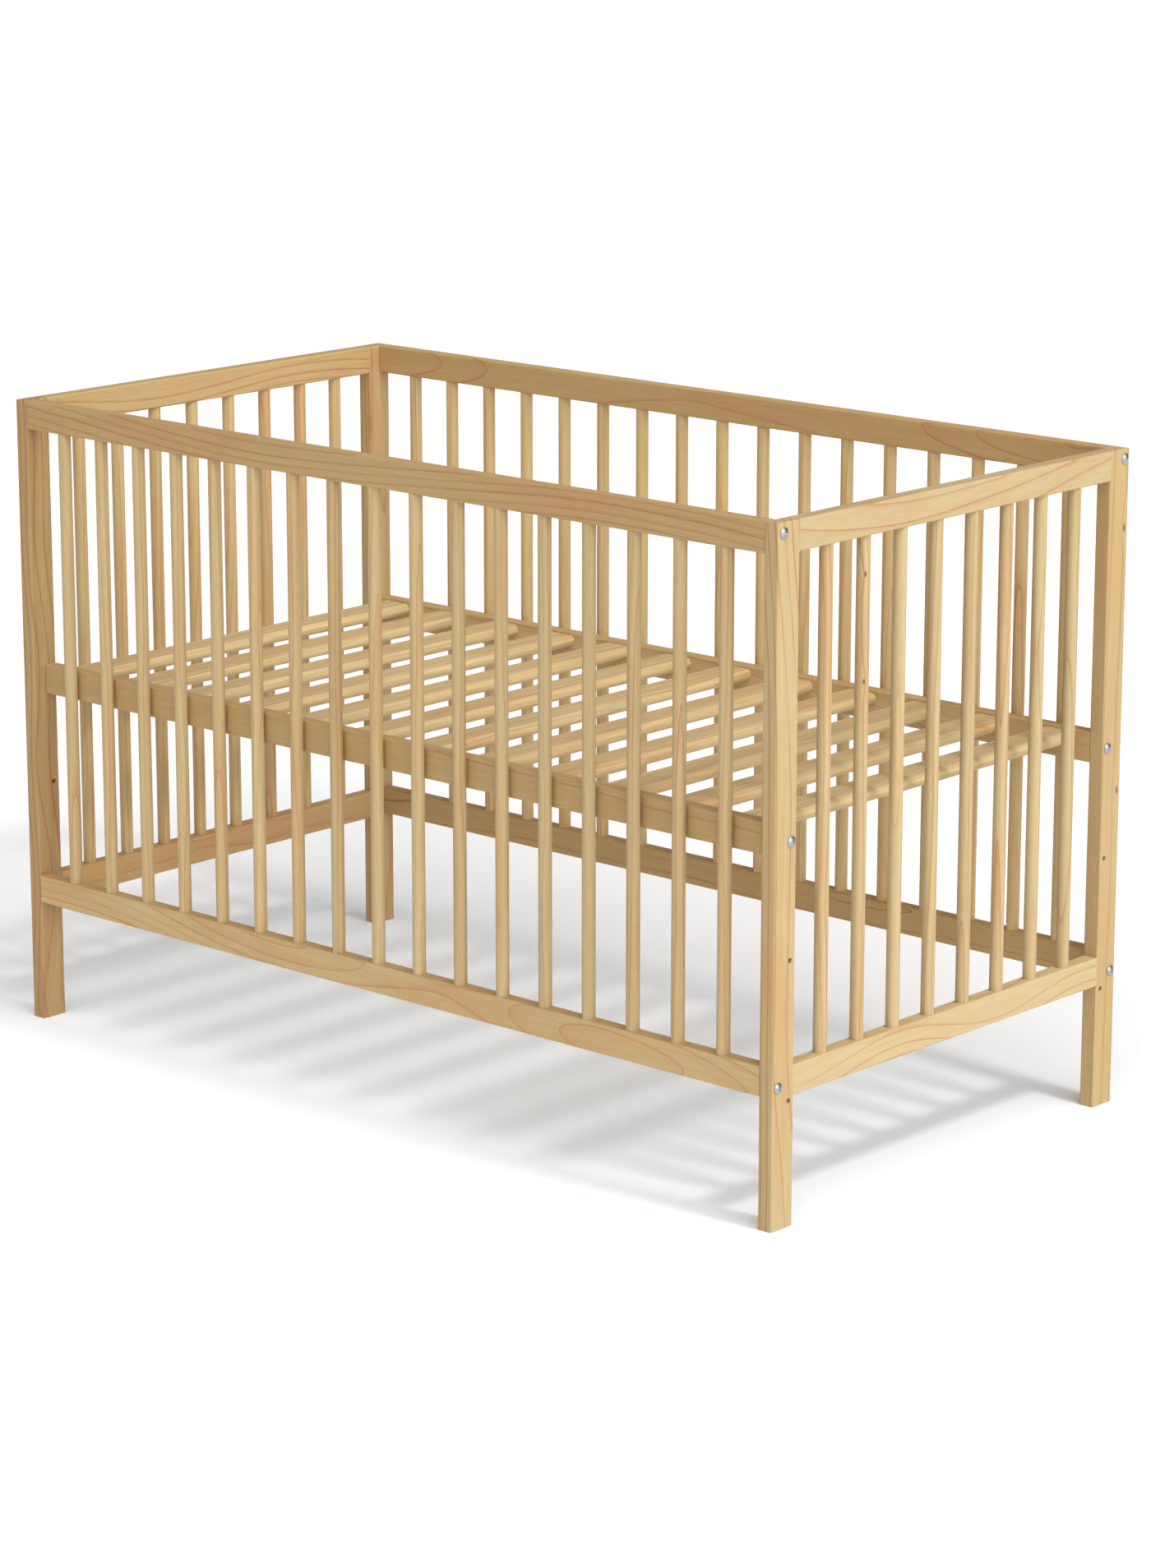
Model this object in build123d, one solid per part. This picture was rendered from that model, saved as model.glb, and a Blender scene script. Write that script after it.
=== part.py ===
from build123d import *
import math
import os

# Driving sizes in millimetres. X runs along the crib, Y across it and Z up from the floor.
CRIB_LENGTH = 1244.0            # over the outer faces of the end panels
CRIB_WIDTH = 647.0              # over the outer faces of the long sides
CRIB_HEIGHT = 808.0             # floor to the top of the posts

# Timber sections
END_THICKNESS = 20.0            # posts and end rails, along X
SIDE_RAIL_THICKNESS = 18.5      # rails of the long sides, along Y
BASE_RAIL_THICKNESS = 18.0      # rails of the mattress base, along Y
SIDE_TO_BASE_GAP = 0.5          # lets the base pass the long sides when its height is changed
END_RAIL_HEIGHT = 36.0
SIDE_RAIL_HEIGHT = 36.0
BASE_RAIL_HEIGHT = 38.0
EDGE_RADIUS = 2.0               # rounding along the long edges
EDGE_EASE = 0.8                 # rounding round the feet and the ends of the bolted rails

# Heights above the floor
END_RAIL_UNDERSIDE = 153.5      # lower end rails
SIDE_RAIL_UNDERSIDE = 156.0     # lower side rails
BASE_BOLT_HEIGHT = 448.0        # base bolts, with the base in its upper place
MIDDLE_HOLE_HEIGHT = 312.0      # spare holes for the middle place of the base
LOW_HOLE_HEIGHT = 149.0         # spare holes for the lowest place of the base

# Spindles
SIDE_SPINDLE_COUNT = 17
END_SPINDLE_COUNT = 8
SPINDLE_DIAMETER = 16.0
TENON_DIAMETER = 10.0
TENON_LENGTH = 12.0

# Slats
SLAT_COUNT = 12
SLAT_WIDTH = 48.0
SLAT_THICKNESS = 15.0
SLAT_TENON = 10.0               # length let into each base rail
SLAT_LIP = 3.0                  # base rail standing above the slats
SLAT_TO_INSERT = 2.5            # outermost slat clear of the threaded inserts

# Bolts and threaded inserts
BOLT_DIAMETER = 6.0
BOLT_HOLE_DIAMETER = 6.5
BOLT_HEAD_DIAMETER = 13.0
BOLT_HEAD_HEIGHT = 3.6
BOLT_RIM_HEIGHT = 0.9           # straight rim under the dome
BOLT_TIP_SHORT = 1.0            # tip stops this far before the end of the insert
BOLT_EDGE = 12.0                # bolt axis from the outer edge of a side rail
BOLT_TURN = 37.0                # degrees that each bolt stands turned from the one before
THREAD_PITCH = 1.0
THREAD_DEPTH = 0.45
RECESS_SPAN = 6.6               # cross recess, tip to tip
RECESS_ARM = 1.5
RECESS_DEPTH = 2.2
RECESS_FLOOR = 1.8              # width at the bottom of the recess
INSERT_DIAMETER = 10.0
INSERT_BORE = 6.3
INSERT_LENGTH = 20.0
INSERT_PITCH = 2.5
INSERT_THREAD_DEPTH = 0.6

# Dowels
DOWEL_DIAMETER = 8.0
SIDE_DOWEL_LENGTH = 30.0
SIDE_DOWEL_IN_POST = 10.0
SIDE_DOWEL_EDGE = 12.0          # dowel axis from the inner edge of a side rail
END_DOWEL_LENGTH = 40.0
END_DOWEL_IN_POST = 18.0
END_DOWEL_EDGE = 9.0            # dowel axes from the two edges of an end rail

GLUE_GAP = 0.1                  # room round a fixed piece in its hole, and past its end
OVERCUT = 1.0                   # drills and cutters run this far outside the wood

# Places worked out from the driving sizes
POST_DEPTH = SIDE_RAIL_THICKNESS + SIDE_TO_BASE_GAP + BASE_RAIL_THICKNESS
OUTER_X = CRIB_LENGTH / 2
INNER_X = OUTER_X - END_THICKNESS
PANEL_X = OUTER_X - END_THICKNESS / 2
OUTER_Y = CRIB_WIDTH / 2
INNER_Y = OUTER_Y - POST_DEPTH
SIDE_Y = OUTER_Y - SIDE_RAIL_THICKNESS / 2
BASE_Y = INNER_Y + BASE_RAIL_THICKNESS / 2
END_LOW_TOP = END_RAIL_UNDERSIDE + END_RAIL_HEIGHT
END_HIGH_UNDERSIDE = CRIB_HEIGHT - END_RAIL_HEIGHT
SIDE_LOW_TOP = SIDE_RAIL_UNDERSIDE + SIDE_RAIL_HEIGHT
SIDE_HIGH_UNDERSIDE = CRIB_HEIGHT - SIDE_RAIL_HEIGHT
SLAT_Z = BASE_BOLT_HEIGHT + BASE_RAIL_HEIGHT / 2 - SLAT_LIP - SLAT_THICKNESS / 2
BOLT_LENGTH = END_THICKNESS + INSERT_LENGTH - BOLT_TIP_SHORT

# The two ends and the two long sides, with the sign of X or Y there
ENDS = {"left": -1, "right": 1}
SIDES = {"front": -1, "back": 1}

# Underside of each rail, and the heights of its bolt and its dowels
SIDE_RAILS = {
    "bottom": (SIDE_RAIL_UNDERSIDE, SIDE_RAIL_UNDERSIDE + BOLT_EDGE, SIDE_LOW_TOP - SIDE_DOWEL_EDGE),
    "top": (SIDE_HIGH_UNDERSIDE, CRIB_HEIGHT - BOLT_EDGE, SIDE_HIGH_UNDERSIDE + SIDE_DOWEL_EDGE),
}
END_RAILS = {"bottom": END_RAIL_UNDERSIDE, "top": END_HIGH_UNDERSIDE}


def even_centres(clear, count, width):
    """Centres of equal members that leave equal gaps across a clear span about zero."""
    gap = (clear - count * width) / (count + 1)
    first = -clear / 2 + gap + width / 2
    return [first + i * (gap + width) for i in range(count)]


def slat_centres():
    """X of each slat, from one end of the base to the other."""
    last = INNER_X - INSERT_LENGTH - SLAT_TO_INSERT - SLAT_WIDTH / 2
    return [-last + i * 2 * last / (SLAT_COUNT - 1) for i in range(SLAT_COUNT)]


def end_dowel_heights(underside):
    """Heights of the two dowels at the end of an end rail."""
    return underside + END_DOWEL_EDGE, underside + END_RAIL_HEIGHT - END_DOWEL_EDGE


def at_corner(piece, end, side):
    """Carry a piece from the right back corner to any corner by mirroring."""
    if ENDS[end] < 0:
        piece = mirror(piece, about=Plane.YZ)
    if SIDES[side] < 0:
        piece = mirror(piece, about=Plane.XZ)
    return piece


def at_all_corners(piece):
    """A piece of the right back corner repeated at the four corners."""
    return [at_corner(piece, end, side) for end in ENDS for side in SIDES]


def rod(diameter, length):
    """Round rod standing on the origin along Z."""
    return Cylinder(diameter / 2, length, align=(Align.CENTER, Align.CENTER, Align.MIN))


def rod_x(diameter, start, end, y, z):
    """Round rod along X between two places."""
    return Pos(start, y, z) * Rot(0, 90, 0) * rod(diameter, end - start)


def rod_y(diameter, start, end, x, z):
    """Round rod along Y between two places."""
    return Pos(x, start, z) * Rot(-90, 0, 0) * rod(diameter, end - start)


def rod_z(diameter, start, end, x, y):
    """Round rod along Z between two heights."""
    return Pos(x, y, start) * rod(diameter, end - start)


def ridges(start, end, radius, depth, pitch):
    """Points of a screw-thread outline along X, from start to end."""
    count = max(1, int((end - start) / pitch))
    step = (end - start) / count
    points = []
    for i in range(count):
        points.append((start + i * step, radius - depth))
        points.append((start + (i + 0.5) * step, radius))
    points.append((end, radius - depth))
    return points


def edge_rounding(x, into_x, start, end):
    """What comes off an upright inner edge of the right back post to round it."""
    size = EDGE_RADIUS + OVERCUT
    shift = (EDGE_RADIUS - OVERCUT) / 2
    block = Pos(x + into_x * shift, INNER_Y + shift, (start + end) / 2) * Box(size, size, end - start)
    kept = rod_z(2 * EDGE_RADIUS, start, end, x + into_x * EDGE_RADIUS, INNER_Y + EDGE_RADIUS)
    return block - kept


def make_post():
    """Right back corner post with its bolt holes, spare holes and dowel holes."""
    post = Pos(PANEL_X, OUTER_Y - POST_DEPTH / 2, CRIB_HEIGHT / 2) * Box(
        END_THICKNESS, POST_DEPTH, CRIB_HEIGHT
    )
    top_edges = post.faces().sort_by(Axis.Z)[-1].edges()
    rounded = post.edges().filter_by(Axis.Z).group_by(Axis.Y)[-1]
    rounded += top_edges.filter_by(Axis.Y)
    rounded += top_edges.filter_by(Axis.X).sort_by(Axis.Y)[-1:]
    post = fillet(rounded, EDGE_RADIUS)
    for start, end in ((-OVERCUT, END_RAIL_UNDERSIDE), (END_LOW_TOP, END_HIGH_UNDERSIDE)):
        post -= edge_rounding(OUTER_X, -1, start, end)
        post -= edge_rounding(INNER_X, 1, start, end)
    post = fillet(post.faces().sort_by(Axis.Z)[0].edges(), EDGE_EASE)
    for height in (BASE_BOLT_HEIGHT, MIDDLE_HOLE_HEIGHT, LOW_HOLE_HEIGHT):
        post -= rod_x(BOLT_HOLE_DIAMETER, INNER_X - OVERCUT, OUTER_X + OVERCUT, BASE_Y, height)
    for underside, bolt_z, dowel_z in SIDE_RAILS.values():
        post -= rod_x(BOLT_HOLE_DIAMETER, INNER_X - OVERCUT, OUTER_X + OVERCUT, SIDE_Y, bolt_z)
        deep = INNER_X + SIDE_DOWEL_IN_POST + GLUE_GAP
        post -= rod_x(DOWEL_DIAMETER + 2 * GLUE_GAP, INNER_X - OVERCUT, deep, SIDE_Y, dowel_z)
    for underside in END_RAILS.values():
        deep = INNER_Y + END_DOWEL_IN_POST + GLUE_GAP
        for height in end_dowel_heights(underside):
            post -= rod_y(DOWEL_DIAMETER + 2 * GLUE_GAP, INNER_Y - OVERCUT, deep, PANEL_X, height)
    return post


def spindle_socket(x, y, face, upward):
    """Hole in a rail for one spindle tenon, opening at the given height."""
    deep = TENON_LENGTH + GLUE_GAP
    start, end = (face - OVERCUT, face + deep) if upward else (face - deep, face + OVERCUT)
    return rod_z(TENON_DIAMETER + 2 * GLUE_GAP, start, end, x, y)


def make_end_rail(level):
    """Rail of the right end panel between its posts, with dowel holes and spindle sockets."""
    underside = END_RAILS[level]
    rail = Pos(PANEL_X, 0, underside + END_RAIL_HEIGHT / 2) * Box(
        END_THICKNESS, 2 * INNER_Y, END_RAIL_HEIGHT
    )
    rail = fillet(rail.edges().filter_by(Axis.Y), EDGE_RADIUS)
    start = INNER_Y - (END_DOWEL_LENGTH - END_DOWEL_IN_POST) - GLUE_GAP
    for height in end_dowel_heights(underside):
        hole = rod_y(DOWEL_DIAMETER + 2 * GLUE_GAP, start, INNER_Y + OVERCUT, PANEL_X, height)
        rail -= [hole, mirror(hole, about=Plane.XZ)]
    upward = level == "top"
    face = END_HIGH_UNDERSIDE if upward else END_LOW_TOP
    for y in even_centres(2 * INNER_Y, END_SPINDLE_COUNT, SPINDLE_DIAMETER):
        rail -= spindle_socket(PANEL_X, y, face, upward)
    return rail


def insert_hole(y, z):
    """Hole in the right end of a bolted rail for its threaded insert."""
    start = INNER_X - INSERT_LENGTH - GLUE_GAP
    return rod_x(INSERT_DIAMETER + 2 * GLUE_GAP, start, INNER_X + OVERCUT, y, z)


def ease_ends(rail):
    """Round the edges at both ends of a bolted rail."""
    faces = rail.faces().sort_by(Axis.X)
    return fillet(faces[0].edges() + faces[-1].edges(), EDGE_EASE)


def make_side_rail(level):
    """Rail of the back long side, with inserts' holes, dowel holes and spindle sockets."""
    underside, bolt_z, dowel_z = SIDE_RAILS[level]
    rail = Pos(0, SIDE_Y, underside + SIDE_RAIL_HEIGHT / 2) * Box(
        2 * INNER_X, SIDE_RAIL_THICKNESS, SIDE_RAIL_HEIGHT
    )
    rail = ease_ends(fillet(rail.edges().filter_by(Axis.X), EDGE_RADIUS))
    start = INNER_X - (SIDE_DOWEL_LENGTH - SIDE_DOWEL_IN_POST) - GLUE_GAP
    dowel_hole = rod_x(DOWEL_DIAMETER + 2 * GLUE_GAP, start, INNER_X + OVERCUT, SIDE_Y, dowel_z)
    for hole in (insert_hole(SIDE_Y, bolt_z), dowel_hole):
        rail -= [hole, mirror(hole, about=Plane.YZ)]
    upward = level == "top"
    face = SIDE_HIGH_UNDERSIDE if upward else SIDE_LOW_TOP
    for x in even_centres(2 * INNER_X, SIDE_SPINDLE_COUNT, SPINDLE_DIAMETER):
        rail -= spindle_socket(x, SIDE_Y, face, upward)
    return rail


def slat_bar(x, room, half_length):
    """Flat bar with fully rounded edges across the base, larger all round by the room given."""
    outline = SlotOverall(SLAT_WIDTH + 2 * room, SLAT_THICKNESS + 2 * room)
    return Pos(x, 0, SLAT_Z) * extrude(Plane.XZ * outline, half_length, both=True)


def make_slat(x):
    """One slat, let into both base rails."""
    return slat_bar(x, 0, INNER_Y + SLAT_TENON)


def make_base_rail():
    """Back rail of the mattress base, with insert holes and slat mortises."""
    rail = Pos(0, BASE_Y, BASE_BOLT_HEIGHT) * Box(2 * INNER_X, BASE_RAIL_THICKNESS, BASE_RAIL_HEIGHT)
    rail = ease_ends(fillet(rail.edges().filter_by(Axis.X), EDGE_RADIUS))
    hole = insert_hole(BASE_Y, BASE_BOLT_HEIGHT)
    rail -= [hole, mirror(hole, about=Plane.YZ)]
    for x in slat_centres():
        rail -= slat_bar(x, GLUE_GAP, INNER_Y + SLAT_TENON + GLUE_GAP)
    return rail


def make_spindle(x, y, bottom, top):
    """Round spindle between two rails, with a thinner tenon at each end."""
    body = rod_z(SPINDLE_DIAMETER, bottom, top, x, y)
    return body + rod_z(TENON_DIAMETER, bottom - TENON_LENGTH, top + TENON_LENGTH, x, y)


def make_bolt(y, z, turn):
    """Domed bolt in the right end, with a cross recess turned by the given angle."""
    radius = BOLT_DIAMETER / 2
    head = BOLT_HEAD_DIAMETER / 2
    rise = BOLT_HEAD_HEIGHT - BOLT_RIM_HEIGHT
    dome = (head**2 + rise**2) / (2 * rise)
    middle = (BOLT_HEAD_HEIGHT - dome + math.sqrt(dome**2 - (head / 2) ** 2), head / 2)
    points = [(-BOLT_LENGTH, 0)]
    points += ridges(-BOLT_LENGTH, BOLT_TIP_SHORT - END_THICKNESS, radius, THREAD_DEPTH, THREAD_PITCH)
    points += [(BOLT_TIP_SHORT - END_THICKNESS, radius), (0, radius)]
    points += [(0, head), (BOLT_RIM_HEIGHT, head)]
    outline = Polyline(*points)
    outline += ThreePointArc((BOLT_RIM_HEIGHT, head), middle, (BOLT_HEAD_HEIGHT, 0))
    outline += Line((BOLT_HEAD_HEIGHT, 0), (-BOLT_LENGTH, 0))
    bolt = revolve(make_face(outline), Axis.X)
    arms = Box(RECESS_DEPTH, RECESS_SPAN, RECESS_ARM) + Box(RECESS_DEPTH, RECESS_ARM, RECESS_SPAN)
    taper = Rot(0, 90, 0) * Cone(RECESS_FLOOR / 2, RECESS_SPAN / 2, RECESS_DEPTH)
    recess = Pos(BOLT_HEAD_HEIGHT - RECESS_DEPTH / 2, 0, 0) * (arms & taper)
    return Pos(OUTER_X, y, z) * Rot(turn, 0, 0) * (bolt - recess)


def make_insert(y, z):
    """Threaded insert in the right end of a bolted rail, flush with the rail's end."""
    start = INNER_X - INSERT_LENGTH
    radius = INSERT_DIAMETER / 2
    points = [(start, 0)]
    points += ridges(start, INNER_X, radius, INSERT_THREAD_DEPTH, INSERT_PITCH)
    points += [(INNER_X, 0), (start, 0)]
    body = revolve(make_face(Polyline(*points)), Axis.X)
    bore = rod_x(INSERT_BORE, start - OVERCUT, INNER_X + OVERCUT, 0, 0)
    return Pos(0, y, z) * (body - bore)


def make_side_dowels():
    """Dowels beside the side-rail bolts at the four corners."""
    start = INNER_X - (SIDE_DOWEL_LENGTH - SIDE_DOWEL_IN_POST)
    dowels = []
    for underside, bolt_z, dowel_z in SIDE_RAILS.values():
        dowel = rod_x(DOWEL_DIAMETER, start, start + SIDE_DOWEL_LENGTH, SIDE_Y, dowel_z)
        dowels += at_all_corners(dowel)
    return dowels


def make_end_dowels():
    """Dowels in the glued joints of both end panels."""
    start = INNER_Y - (END_DOWEL_LENGTH - END_DOWEL_IN_POST)
    dowels = []
    for underside in END_RAILS.values():
        for height in end_dowel_heights(underside):
            dowel = rod_y(DOWEL_DIAMETER, start, start + END_DOWEL_LENGTH, PANEL_X, height)
            dowels += at_all_corners(dowel)
    return dowels


def save(name, pieces):
    """Write one node, which may be several separate solids."""
    export_step(Compound(children=[piece.solid() for piece in pieces]), f"parts/{name}.step")


def save_panels():
    """Posts, rails and spindles of the two ends and the two long sides."""
    post = make_post()
    for end in ENDS:
        for side in SIDES:
            save(f"post_{side}_{end}", [at_corner(post, end, side)])
    for level in END_RAILS:
        rail = make_end_rail(level)
        for end in ENDS:
            save(f"end_{level}_rail_{end}", [at_corner(rail, end, "back")])
    for level in SIDE_RAILS:
        rail = make_side_rail(level)
        for side in SIDES:
            save(f"side_{level}_rail_{side}", [at_corner(rail, "right", side)])
    for end, sign in ENDS.items():
        centres = even_centres(2 * INNER_Y, END_SPINDLE_COUNT, SPINDLE_DIAMETER)
        for number, y in enumerate(centres, 1):
            spindle = make_spindle(sign * PANEL_X, y, END_LOW_TOP, END_HIGH_UNDERSIDE)
            save(f"{end}_spindle_{number}", [spindle])
    for side, sign in SIDES.items():
        centres = even_centres(2 * INNER_X, SIDE_SPINDLE_COUNT, SPINDLE_DIAMETER)
        spindles = [make_spindle(x, sign * SIDE_Y, SIDE_LOW_TOP, SIDE_HIGH_UNDERSIDE) for x in centres]
        save(f"{side}_spindles", spindles)


def save_base():
    """Rails and slats of the mattress base."""
    rail = make_base_rail()
    for side in SIDES:
        save(f"base_rail_{side}", [at_corner(rail, "right", side)])
    for number, x in enumerate(slat_centres(), 1):
        save(f"slat_{number:02d}", [make_slat(x)])


def save_hardware():
    """Bolts, inserts and dowels."""
    turn = 0.0
    side_bolts = []
    for end in ENDS:
        for side in SIDES:
            for underside, bolt_z, dowel_z in SIDE_RAILS.values():
                turn += BOLT_TURN
                side_bolts.append(at_corner(make_bolt(SIDE_Y, bolt_z, turn), end, side))
            turn += BOLT_TURN
            bolt = make_bolt(BASE_Y, BASE_BOLT_HEIGHT, turn)
            save(f"base_bolt_{side}_{end}", [at_corner(bolt, end, side)])
    save("side_bolts", side_bolts)
    save("base_inserts", at_all_corners(make_insert(BASE_Y, BASE_BOLT_HEIGHT)))
    side_inserts = []
    for underside, bolt_z, dowel_z in SIDE_RAILS.values():
        side_inserts += at_all_corners(make_insert(SIDE_Y, bolt_z))
    save("side_inserts", side_inserts)
    save("side_dowels", make_side_dowels())
    save("end_dowels", make_end_dowels())


os.makedirs("parts", exist_ok=True)
save_panels()
save_base()
save_hardware()
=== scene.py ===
import math
import random

import bpy
import bmesh
from bpy.props import FloatProperty, FloatVectorProperty, PointerProperty
from mathutils import Euler, Matrix, Vector


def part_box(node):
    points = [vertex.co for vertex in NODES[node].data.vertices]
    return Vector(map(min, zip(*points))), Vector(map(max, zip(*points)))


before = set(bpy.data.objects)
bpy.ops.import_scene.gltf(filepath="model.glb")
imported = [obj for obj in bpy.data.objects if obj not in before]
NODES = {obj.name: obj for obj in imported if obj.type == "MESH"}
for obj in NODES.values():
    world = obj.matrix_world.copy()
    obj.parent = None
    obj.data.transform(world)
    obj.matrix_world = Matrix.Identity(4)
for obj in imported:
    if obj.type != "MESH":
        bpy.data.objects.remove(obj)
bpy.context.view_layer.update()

bl_info = {
    "name": "Wooden crib",
    "version": (1, 0, 0),
    "blender": (4, 5, 0),
    "location": "View3D > Sidebar > Crib",
    "description": "Finishes the crib's wood and metal and sets up its studio",
    "category": "Object",
}

SIDE_SPINDLE_COUNT = 17
END_SPINDLE_COUNT = 8
MM_PER_METRE = 1000.0
BLACK = (0.0, 0.0, 0.0, 1.0)
WHITE = (1.0, 1.0, 1.0, 1.0)

# Turn that brings each grain direction to X
GRAIN_TURN = {
    "X": Euler((0.0, 0.0, 0.0)),
    "Y": Euler((0.0, 0.0, -math.pi / 2)),
    "Z": Euler((0.0, math.pi / 2, 0.0)),
}

# Sockets of the pine group. Places and lengths are in millimetres, in a frame with the grain along X.
# Pith is the way from the trunk's pith to the middle of the board. Lean, Bow and Wave shift the rings
# across the grain: Lean for each REACH along it, Bow by the square of that, Wave as a sine whose
# length is counted in REACH.
GRAIN_VECTORS = ("Vector", "Normal", "Pith", "Lean", "Bow", "Wave", "Knot", "Second knot")
GRAIN_VALUES = {
    "Ring width": 7.0, "Uneven": 1.0, "Wave length": 10.0, "Wave shift": 0.0, "Sweep": 10.0,
    "Knot size": 0.01, "Blush": 0.5, "Streaks": 0.2, "Tone": 1.0, "Warmth": 0.5, "Lines": 0.7, "Gloss": 0.5,
}
GRAIN_COLOURS = ("Pale", "Warm", "Line", "Blush colour", "Knot colour")
GRAIN_OUTPUTS = {"Color": "NodeSocketColor", "Roughness": "NodeSocketFloat", "Height": "NodeSocketFloat"}

# Sizes of the pine's features, along the grain and twice across it, in millimetres
TRUNK_BEND = (330.0, 110.0, 110.0)
FIBRE = (22.0, 0.9, 0.9)
STREAK = (150.0, 3.5, 3.5)
PATCH = (240.0, 45.0, 45.0)
REACH = 100.0
LINE_WIDTH = 4.0                # a line on the face has faded out at about this distance
LATE_DEPTH = 3.5                # soft late wood before each line
TRUNK_LENGTH = 9000.0           # boards come from anywhere within this distance along the trunk

# Strength of the pine's features, as places and values on a ramp
KNOT_RAMP = ((0.35, 1.0), (0.6, 0.0))
BEND_RAMP = ((0.05, 1.0), (0.8, 0.0))
YEAR_RAMP = ((0.25, 0.12), (0.8, 1.0))
LINE_RAMP = ((0.0, 0.8), (0.14, 1.0), (0.34, 0.35), (0.9, 0.0))
LATE_RAMP = ((0.0, 1.0), (0.3, 0.45), (1.0, 0.0))
ROSY_RAMP = ((0.5, 0.0), (0.95, 1.0))

# How strongly the pine's features show
KNOT_STRETCH = (0.4, 1.0, 1.0)  # knots are longer along the grain
KNOT_NEARNESS = 0.2             # rings bend round a knot out to four times its size
SWEEP_GAIN = 2.0
YEAR_CHANGE = 0.55              # how fast the width of the years changes
YEAR_SPREAD = 0.9               # how much it changes
LEAST_SLANT = 0.012             # keeps a line from spreading over a face that lies along the ring
LINE_BY_PATCH = (1.3, 0.35)     # factor and base of the lines' strength in patches
ROSY_LATE = 0.4
WARM_BY_PATCH = (1.2, -0.6)     # factor and base of the warmth in patches
FIBRE_SHADE = (0.28, 0.86)      # factor and base of the fibres' shade
FIBRE_ROUGHNESS = 0.14
LINE_GLOSS = 0.06
FIBRE_HEIGHT = 0.6
LINE_HEIGHT = 0.5

# Chance figure of a board that has none of its own
CHANCE_RANGES = {"Sweep": (7.0, 13.0), "Blush": (0.2, 0.9), "Tone": (0.96, 1.04), "Lines": (0.6, 1.0)}


class PineSettings(bpy.types.PropertyGroup):
    """Colours and figure of the lacquered pine."""

    pale: FloatVectorProperty(
        name="Pale wood", description="Colour between the grain lines",
        default=(0.50, 0.38, 0.194), subtype="COLOR", min=0.0, max=1.0,
    )
    warm: FloatVectorProperty(
        name="Warm wood", description="Colour of the warmer patches",
        default=(0.484, 0.317, 0.13), subtype="COLOR", min=0.0, max=1.0,
    )
    line: FloatVectorProperty(
        name="Grain line", description="Colour of the hard late wood in each ring",
        default=(0.30, 0.12, 0.042), subtype="COLOR", min=0.0, max=1.0,
    )
    blush: FloatVectorProperty(
        name="Blush", description="Colour of the reddish streaks",
        default=(0.50, 0.265, 0.12), subtype="COLOR", min=0.0, max=1.0,
    )
    knot: FloatVectorProperty(
        name="Knot", description="Colour at the heart of a pin knot",
        default=(0.20, 0.09, 0.035), subtype="COLOR", min=0.0, max=1.0,
    )
    ring_width: FloatProperty(
        name="Ring width", description="Mean width of a growth ring, in millimetres",
        default=7.0, min=1.0, max=20.0,
    )
    roughness: FloatProperty(
        name="Roughness", description="Roughness of the satin lacquer",
        default=0.52, min=0.0, max=1.0, subtype="FACTOR",
    )


class ZincSettings(bpy.types.PropertyGroup):
    """Finish of the plated bolts and inserts."""

    colour: FloatVectorProperty(
        name="Zinc", description="Colour of the bright plating",
        default=(0.43, 0.435, 0.45), subtype="COLOR", min=0.0, max=1.0,
    )
    roughness: FloatProperty(
        name="Roughness", description="Roughness of the plating",
        default=0.27, min=0.0, max=1.0, subtype="FACTOR",
    )


class StudioSettings(bpy.types.PropertyGroup):
    """Floor, light and camera."""

    floor: FloatVectorProperty(
        name="Floor", description="Colour of the floor",
        default=(0.945, 0.945, 0.95), subtype="COLOR", min=0.0, max=1.0,
    )
    # Painted light: a bluer floor colour under the crib, painted to cancel the warm light that the wood
    # throws there
    floor_painted_cool_under: FloatVectorProperty(
        name="Floor under the crib", description="Colour of the floor where the wood throws its warm light",
        default=(0.875, 0.935, 1.0), subtype="COLOR", min=0.0, max=1.0,
    )
    glow_under: FloatProperty(
        name="Glow under the crib", description="Faint extra light on the floor under the left half",
        default=0.09, min=0.0,
    )
    glow_front: FloatProperty(
        name="Glow in front", description="Extra light on the floor in front of the long side",
        default=0.09, min=0.0,
    )
    floor_size: FloatProperty(
        name="Floor size", description="Length of the floor's edge",
        default=80.0, min=5.0, unit="LENGTH",
    )
    camera_place: FloatVectorProperty(
        name="Camera", description="Where the camera stands",
        default=(3.6902, -4.0305, 1.7203), subtype="TRANSLATION", unit="LENGTH",
    )
    camera_azimuth: FloatProperty(
        name="Azimuth", description="Turn of the view round the crib",
        default=math.radians(42.218), subtype="ANGLE",
    )
    camera_elevation: FloatProperty(
        name="Elevation", description="How far the view looks down",
        default=math.radians(14.032), subtype="ANGLE",
    )
    lens: FloatProperty(
        name="Focal length", description="Focal length for a frame 36 mm high, in millimetres",
        default=104.17, min=10.0,
    )
    key_place: FloatVectorProperty(
        name="Key light", description="Where the key light hangs",
        default=(4.42, 0.0, 6.33), subtype="TRANSLATION", unit="LENGTH",
    )
    key_aim: FloatVectorProperty(
        name="Key aim", description="Point that the key light faces",
        default=(0.0, 0.0, 0.3), subtype="TRANSLATION", unit="LENGTH",
    )
    key_size: FloatProperty(
        name="Key size", description="Width of the key light",
        default=0.9, min=0.01, unit="LENGTH",
    )
    key_power: FloatProperty(
        name="Key power", description="Power of the key light, in watts",
        default=176.0, min=0.0,
    )
    right_light: FloatProperty(
        name="Right light", description="Strength of the large soft light on the right",
        default=2.0, min=0.0,
    )
    front_light: FloatProperty(
        name="Front light", description="Strength of the large soft light high in front and to the right",
        default=2.42, min=0.0,
    )
    back_light: FloatProperty(
        name="Back light", description="Strength of the faint soft light behind and to the left",
        default=0.4, min=0.0,
    )
    backdrop: FloatProperty(
        name="Backdrop", description="Extra light on the floor away from the crib",
        default=0.1, min=0.0,
    )


def settings():
    """The three groups of settings on the scene."""
    scene = bpy.context.scene
    return scene.crib_pine, scene.crib_zinc, scene.crib_studio


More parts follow.
